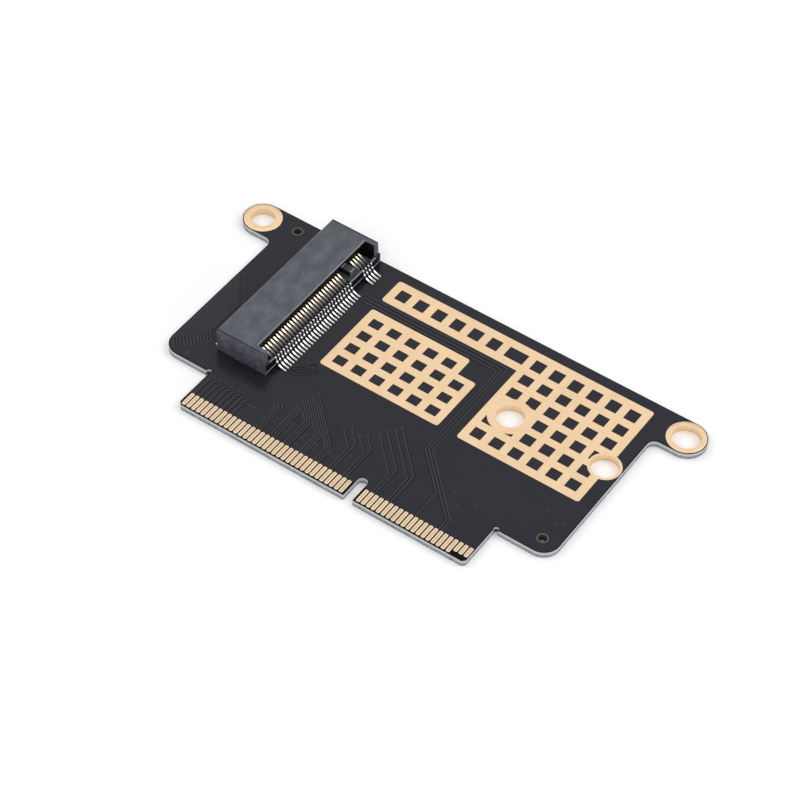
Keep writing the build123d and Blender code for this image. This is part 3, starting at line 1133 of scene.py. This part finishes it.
    def socket_loop(self) -> None:
        """Two vias in front of the socket with the lines that loop round them."""
        self.vias.extend(self.loop_vias)
        for via, line in zip(self.loop_vias, (self.loop_outer, self.loop_inner)):
            self.loops.append([via, *line])

    def single_vias(self) -> None:
        """Single vias near the fingers, beside the socket and in the open mask."""
        self.vias.extend(self.lone_vias)

    def ridges(self, routes: Sequence[Sequence[Point]], width: float, height: float,
               z: float) -> bmesh.types.BMesh:
        """Low ridges along routes.

        Args:
            routes: Corners of each route.
            width: Width of the ridges.
            height: Height of the ridges.
            z: Height of the skin under them.

        Returns:
            One mesh with all the ridges.
        """
        bm = bmesh.new()
        for route in routes:
            points = [Vector((x, y, z + height / 2)) for x, y in route]
            unit = bent_strip(points, Vector((0, 0, height)), width, 0.0, 0)
            mesh = bpy.data.meshes.new("ridge")
            unit.to_mesh(mesh)
            unit.free()
            bm.from_mesh(mesh)
            bpy.data.meshes.remove(mesh)
        return bm

    def via(self, z: float) -> bmesh.types.BMesh:
        """Low dot with a dimple, at the origin; the dimple's floor is marked for painted shade.

        Args:
            z: Height of the skin under it.

        Returns:
            The dot.
        """
        bm = bmesh.new()
        depth = self.height * self.via_rise
        bmesh.ops.create_cone(bm, cap_ends=True, segments=self.via_sides, radius1=self.via_r,
                              radius2=self.via_r * self.via_taper, depth=depth)
        bmesh.ops.translate(bm, vec=(0, 0, z + depth / 2), verts=bm.verts)
        top = [f for f in bm.faces if f.normal.z > UPWARD]
        bmesh.ops.inset_region(bm, faces=top, thickness=self.via_r * self.dimple,
                               depth=-self.height)
        # painted shade: the dimple's floor takes the dark finish
        for face in top:
            face.material_index = MARKED
        return bm

    def build(self) -> None:
        """Make the ridges with a strip of painted shade along each side, and the dots with painted
        shade in their dimples.
        """
        skin = TraceFinish().build()
        # painted shade: dark strips that show as shadow lines along both sides of each trace
        shade = TraceFinish("painted_shade_beside_traces", mask=(0.004, 0.004, 0.006, 1),
                            mask_light=(0.007, 0.007, 0.009, 1), gloss=0.15).build()
        plain = TraceFinish("black_mask_loop", mask=(0.0060, 0.0064, 0.0120, 1),
                            mask_light=(0.0110, 0.0116, 0.0175, 1), gloss=0.27).build()
        z = node_range("board")[1].z
        for add in (self.bus, self.via_row, self.via_pairs, self.upper_lines, self.socket_loop,
                    self.single_vias):
            add()
        pieces = (
            ("trace_ridges", self.routes, self.width, self.height, skin),
            ("trace_side_shade", self.routes, self.shade_width, self.shade_height, shade),
            ("loop_ridges", self.loops, self.loop_width, self.height, plain),
            ("loop_side_shade", self.loops, self.loop_shade_width, self.shade_height, shade),
        )
        for name, routes, width, height, finish in pieces:
            add_piece(name, self.ridges(routes, width, height, z), finish, smooth=None)
        dots = spread(self.via(z), [Vector((x, y, 0)) for x, y in self.vias])
        add_piece("via_dots", dots, skin, more=(shade,))


@dataclass
class Socket:
    """Edge socket: housing, both rows of contacts, hold-down tabs and solder."""

    edge_round: float = 0.035
    tab_round: float = 0.03
    cheek_thick: float = 0.8
    lip_height: float = 0.35
    jaw_height: float = 1.42
    jaw_edge: float = 0.14
    cover_x: float = -26.4
    near_by: float = 0.05
    below: float = 0.1
    pitch: float = 0.5
    strip_thick: float = 0.14
    strip_width: float = 0.2
    strip_round: float = 0.04
    strip_edge: float = 60.0
    foot: float = 0.75
    copper: float = 0.035
    roof_z: float = 2.625
    roof_tip_z: float = 2.12
    roof_reach: float = 2.9
    roof_start: float = 0.2
    leg_inset: float = 0.18
    rear_bend_z: float = 0.55
    stop_from_rear: float = 1.3
    bead_length: float = 0.16
    bead_height: float = 0.13
    bend_round: float = 0.1
    bend_steps: int = 2
    bead_sides: int = 10
    bead_rings: int = 6
    bead_inset: float = 0.1
    # corners of a lower contact: distance behind the end of its foot, height above the board
    lower_leg: tuple[Point, ...] = ((0.20, 0.11), (0.5, 0.20), (0.90, 0.42), (1.05, 0.76),
                                    (1.20, 0.82))
    lower_bend: tuple[Point, ...] = ((1.23, 1.29), (1.36, 1.39), (1.52, 1.34), (1.84, 1.225))
    lower_arm: tuple[Point, ...] = ((2.70, 1.56), (3.10, 1.79), (3.26, 1.8), (3.61, 1.46))
    # from the end of the foot: where gold ends, dull begins and ends, tin begins, and the band of
    # painted shade at the heel
    lower_zones: tuple[float, ...] = (-2.85, -2.2, -1.7, -1.45, -0.98)
    upper_zones: tuple[float, ...] = (4.0, 3.5, 1.2, 0.9, -1.0)

    def is_narrow(self, face: bmesh.types.BMFace) -> bool:
        """Tell whether a face lies between two neighbouring contacts."""
        ys = [v.co.y for v in face.verts]
        return max(ys) - min(ys) < self.pitch

    def on_jaw_edge(self, face: bmesh.types.BMFace, board_top: float) -> bool:
        """Tell whether a face belongs to the upper edge of the jaw."""
        place = face.calc_center_median()
        return abs(place.z - board_top - self.jaw_height) < self.jaw_edge and place.x > self.cover_x

    def mark(self, face: bmesh.types.BMFace, high: Vector, board_top: float) -> Mark:
        """Choose the finish of one flat face of the housing: plain, painted highlight or painted
        shade.

        Args:
            face: The face.
            high: Highest corner of the housing.
            board_top: Height of the board's upper face.

        Returns:
            Its mark.
        """
        normal, place = face.normal, face.calc_center_median()
        jaw_top = board_top + self.jaw_height
        # slanted faces get a painted highlight, except on the jaw's edge between contacts, which
        # gets painted shade
        if max(abs(n) for n in normal) < SQUARE_ON:
            between = self.is_narrow(face) and self.on_jaw_edge(face, board_top)
            return Mark.SHADE if between else Mark.HIGHLIGHT
        # faces inside the cheeks get painted shade
        if abs(normal.y) > SQUARE_ON:
            inside = abs(place.y) < high.y - self.cheek_thick + self.near_by
            return Mark.SHADE if inside else Mark.OUTSIDE
        # faces that face +X below the jaw's top, and at the cover's front, get painted shade
        if normal.x > SQUARE_ON:
            inside = place.z < jaw_top or abs(place.x - self.cover_x) < self.near_by
            return Mark.SHADE if inside else Mark.OUTSIDE
        # upward faces below the jaw's top: a painted highlight on the lip's top, painted shade
        # elsewhere
        if normal.z > SQUARE_ON and place.z < jaw_top - self.below:
            on_lip = place.z < board_top + self.lip_height + self.near_by
            return Mark.HIGHLIGHT if on_lip else Mark.SHADE
        # upward faces between the jaw's top and the housing's top get lighter painted shade
        if normal.z > SQUARE_ON and place.z < high.z - self.below:
            return Mark.JAW_SHADE
        return Mark.OUTSIDE

    def housing(self, plastic: bpy.types.Material, more: Sequence[bpy.types.Material]) -> None:
        """Round the edges of the housing and mark its faces for painted light: a painted highlight
        on its edges, painted shade on its inner faces and on the jaw's top.

        Args:
            plastic: Its finish.
            more: Finishes of its rounded edges (painted highlight), of the faces inside it (painted
                shade) and of the jaw's top (lighter painted shade).
        """
        bm = node_mesh("socket_housing")
        high = node_range("socket_housing")[1]
        board_top = node_range("board")[1].z
        for face in bm.faces:
            face.material_index = self.mark(face, high, board_top)
        # rounded edges get a painted highlight; on the jaw's edge, painted shade between contacts
        # and lighter painted shade elsewhere
        for face in soften(bm, self.edge_round):
            if not self.on_jaw_edge(face, board_top):
                face.material_index = Mark.HIGHLIGHT
            else:
                face.material_index = Mark.SHADE if self.is_narrow(face) else Mark.JAW_SHADE
        add_piece("housing", bm, plastic, ["socket_housing"], more=more)

    def lower_points(self, toe_x: float, top: float) -> list[Vector]:
        """Centre line of a lower contact, from the tip to the foot.

        Args:
            toe_x: Front end of the foot.
            top: Height of the board's upper face.

        Returns:
            The corners of the line.
        """
        foot = (0.0, self.copper + self.strip_thick / 2)
        line = (foot, *self.lower_leg, *self.lower_bend, *self.lower_arm)
        return [Vector((toe_x - reach, 0, top + z)) for reach, z in reversed(line)]

    def upper_points(self, toe_x: float, rear_x: float, top: float) -> list[Vector]:
        """Centre line of an upper contact, from the tip to the foot.

        Args:
            toe_x: Rear end of the foot.
            rear_x: Rear face of the housing.
            top: Height of the board's upper face.

        Returns:
            The corners of the line.
        """
        foot_z = self.copper + self.strip_thick / 2
        stop_x = rear_x + self.stop_from_rear
        leg_x = rear_x + self.leg_inset
        line = [(stop_x + self.roof_reach, self.roof_tip_z),
                (stop_x + self.roof_start, self.roof_z), (leg_x, self.roof_z),
                (leg_x, self.rear_bend_z), (toe_x + self.foot, foot_z), (toe_x, foot_z)]
        return [Vector((x, 0, top + z)) for x, z in line]

    def contacts(self, row: Row, metal: bpy.types.Material, solder: bpy.types.Material) -> None:
        """Make one row of contacts and the solder at its feet.

        Args:
            row: Which row to make.
            metal: Finish of the strips.
            solder: Finish of the beads.
        """
        top = node_range("board")[1].z
        names = [f"{row.value}_contacts_main", f"{row.value}_contacts_key"]
        low, high = node_range(names[0])
        if row is Row.LOWER:
            points = self.lower_points(high.x, top)
            toe, way = high.x, 1
        else:
            points = self.upper_points(low.x, node_range("socket_housing")[0].x, top)
            toe, way = low.x, -1
        for name in names:
            low, high = node_range(name)
            first = low.y + self.strip_width / 2
            count = round((high.y - low.y - self.strip_width) / self.pitch) + 1
            places = [Vector((0, first + i * self.pitch, 0)) for i in range(count)]
            unit = bent_strip(points, Vector((0, self.strip_width, 0)), self.strip_thick,
                              self.bend_round, self.bend_steps)
            soften(unit, self.strip_round, segments=1, least=self.strip_edge)
            piece = name.replace("contacts", "strips")
            add_piece(piece, spread(unit, places), metal, [name])
            bead = self.bead(toe, way, top)
            add_piece(piece.replace("strips", "beads"), spread(bead, places), solder)

    def bead(self, toe: float, way: int, top: float) -> bmesh.types.BMesh:
        """Solder that climbs the end of a foot.

        Args:
            toe: End of the foot.
            way: Direction in which it runs out, 1 or -1 along X.
            top: Height of the board's upper face.

        Returns:
            The bead.
        """
        bm = bmesh.new()
        bmesh.ops.create_uvsphere(bm, u_segments=self.bead_sides, v_segments=self.bead_rings,
                                  radius=0.5)
        bmesh.ops.bisect_plane(bm, geom=bm.verts[:] + bm.edges[:] + bm.faces[:], plane_co=(0, 0, 0),
                               plane_no=(0, 0, 1), clear_inner=True)
        rim = [e for e in bm.edges if e.is_boundary]
        bmesh.ops.holes_fill(bm, edges=rim, sides=0)
        bmesh.ops.scale(bm, vec=(self.bead_length, self.strip_width, self.bead_height),
                        verts=bm.verts)
        place = (toe + way * self.bead_length * self.bead_inset, 0, top + self.copper)
        bmesh.ops.translate(bm, vec=place, verts=bm.verts)
        bmesh.ops.recalc_face_normals(bm, faces=bm.faces)
        return bm

    def hold_downs(self, tin: bpy.types.Material) -> None:
        """Soften the hold-down tabs and dress the lands, darkened as painted shade, and their
        solder.

        Args:
            tin: Finish of the tabs and of their solder.
        """
        # painted shade: the lands round the feet and under the tabs are made near-black
        dull = TinFinish("painted_shade_lands", (0.06, 0.06, 0.062, 1), (0.03, 0.03, 0.032, 1)).build()
        pieces = {"steel_tab_near": "hold_down_near", "steel_tab_far": "hold_down_far",
                  "tab_solder": "solder_hold_downs"}
        for piece, node in pieces.items():
            bm = node_mesh(node)
            soften(bm, self.tab_round)
            add_piece(piece, bm, tin, [node])
        for name in ("contact_lands_front", "contact_lands_rear", "hold_down_lands"):
            dress(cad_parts[name], dull)

    def build(self, tin: bpy.types.Material) -> None:
        """Make the whole socket.

        Args:
            tin: Finish of the tabs and of the solder.
        """
        # lit and shaded copies of the plastic: a painted highlight for edges, painted shade inside,
        # lighter painted shade on the jaw's top
        lit_edge_plastic = PlasticFinish("painted_highlight_plastic_edge", base=(0.15, 0.158, 0.182, 1),
                               pale=(0.21, 0.22, 0.245, 1), dark=(0.10, 0.108, 0.124, 1))
        # painted shade for the faces inside the housing
        shaded = PlasticFinish("shaded_plastic", base=(0.003, 0.0032, 0.004, 1),
                               pale=(0.006, 0.0065, 0.008, 1), dark=(0.002, 0.002, 0.003, 1),
                               speck=(0.006, 0.0065, 0.008, 1), gloss=0.10)
        # lighter painted shade for the jaw's top
        dim = PlasticFinish("jaw_top_painted_shade", base=(0.024, 0.026, 0.033, 1),
                            pale=(0.04, 0.043, 0.052, 1), dark=(0.015, 0.016, 0.02, 1), gloss=0.25)
        self.housing(PlasticFinish().build(), (lit_edge_plastic.build(), shaded.build(), dim.build()))
        toe = node_range("lower_contacts_main")[1].x
        zones = (toe + reach for reach in self.lower_zones)
        lower = ContactFinish(*zones, "lower_contact_metal").build()
        toe = node_range("upper_contacts_main")[0].x
        zones = (toe + reach for reach in self.upper_zones)
        upper = ContactFinish(*zones, "upper_contact_metal").build()
        self.contacts(Row.LOWER, lower, tin)
        self.contacts(Row.UPPER, upper, tin)
        self.hold_downs(tin)


@dataclass(frozen=True)
class Lamp:
    """Square soft lamp that faces the card."""

    name: str
    place: tuple[float, float, float]
    size: float
    watts: float

    def hang(self, aim: Sequence[float]) -> None:
        """Hang the lamp.

        Args:
            aim: Point that it faces, in millimetres.
        """
        light = bpy.data.lights.new(self.name, "AREA")
        light.size = self.size * MM
        light.energy = self.watts
        lamp = bpy.data.objects.new(self.name, light)
        lamp.location = Vector(self.place) * MM
        ray = Vector(aim) * MM - lamp.location
        lamp.rotation_euler = ray.to_track_quat("-Z", "Y").to_euler()
        bpy.context.scene.collection.objects.link(lamp)


@dataclass
class Studio:
    """White sheet, soft light and the camera."""

    lamps: tuple[Lamp, ...] = (
        Lamp("key_lamp", (330, 260, 420), 330, 0.85),
        Lamp("fill_lamp", (-420, -120, 380), 330, 0.55),
        Lamp("front_lamp", (120, -380, 430), 330, 0.55),
        Lamp("side_lamp", (430, -70, 130), 160, 0.16),
    )
    lamp_aim: tuple[float, float, float] = (-10, -4, 0)
    camera_at: tuple[float, float, float] = (95.0792, -170.3117, 217.9906)
    camera_look: tuple[float, float, float] = (-0.36218, 0.56434, -0.74185)
    camera_roll: float = 2.778
    lens: float = 121.754
    sensor: float = 36.0
    clip_start: float = 10.0
    clip_end: float = 10000.0
    sheet_size: float = 3000.0
    sky_light: float = 1.0
    horizon_light: float = 0.18
    horizon_top: float = 0.6

    def sheet(self) -> None:
        """Lay the white sheet under the card."""
        bm = bmesh.new()
        bmesh.ops.create_grid(bm, x_segments=1, y_segments=1, size=self.sheet_size * MM / 2)
        mesh = bpy.data.meshes.new("sheet")
        bm.to_mesh(mesh)
        bm.free()
        piece = bpy.data.objects.new("sheet", mesh)
        bpy.context.scene.collection.objects.link(piece)
        dress(piece, PaperFinish().build())

    def camera(self) -> None:
        """Set the camera where the photograph was taken from."""
        data = bpy.data.cameras.new("camera")
        data.lens = self.lens
        data.sensor_width = self.sensor
        data.clip_start = self.clip_start * MM
        data.clip_end = self.clip_end * MM
        camera = bpy.data.objects.new("camera", data)
        turn = Vector(self.camera_look).to_track_quat("-Z", "Y").to_matrix().to_4x4()
        roll = Matrix.Rotation(math.radians(self.camera_roll), 4, "Z")
        camera.matrix_world = Matrix.Translation(Vector(self.camera_at) * MM) @ turn @ roll
        bpy.context.scene.collection.objects.link(camera)
        bpy.context.scene.camera = camera

    def surround(self) -> None:
        """Light the card from a white ceiling that grows darker towards the horizon."""
        world = bpy.data.worlds.new("studio")
        world.use_nodes = True
        tree = world.node_tree
        sky = tree.nodes["Background"]
        sky.inputs["Color"].default_value = (1.0, 1.0, 1.0, 1)
        place = tree.nodes.new("ShaderNodeTexCoord")
        split = tree.nodes.new("ShaderNodeSeparateXYZ")
        ramp = tree.nodes.new("ShaderNodeMapRange")
        ramp.interpolation_type = "SMOOTHSTEP"
        ramp.inputs["From Min"].default_value = 0.0
        ramp.inputs["From Max"].default_value = self.horizon_top
        ramp.inputs["To Min"].default_value = self.horizon_light
        ramp.inputs["To Max"].default_value = self.sky_light
        tree.links.new(place.outputs["Generated"], split.inputs[0])
        tree.links.new(split.outputs["Z"], ramp.inputs["Value"])
        tree.links.new(ramp.outputs[0], sky.inputs["Strength"])
        bpy.context.scene.world = world

    def build(self) -> None:
        """Set up the sheet, the lamps, the surrounding light and the camera."""
        self.sheet()
        for lamp in self.lamps:
            lamp.hang(self.lamp_aim)
        self.surround()
        bpy.context.scene.view_settings.view_transform = "Standard"
        self.camera()
        log.info("studio ready")


def main() -> None:
    """Build every part of the card, then the studio."""
    logging.basicConfig(level=logging.INFO, format="%(message)s")
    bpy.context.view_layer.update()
    gold = GoldFinish().build()
    Board().build(gold)
    GoldFields().build(gold)
    Traces().build()
    Socket().build(TinFinish().build())
    Studio().build()


if __name__ == "__main__":
    main()
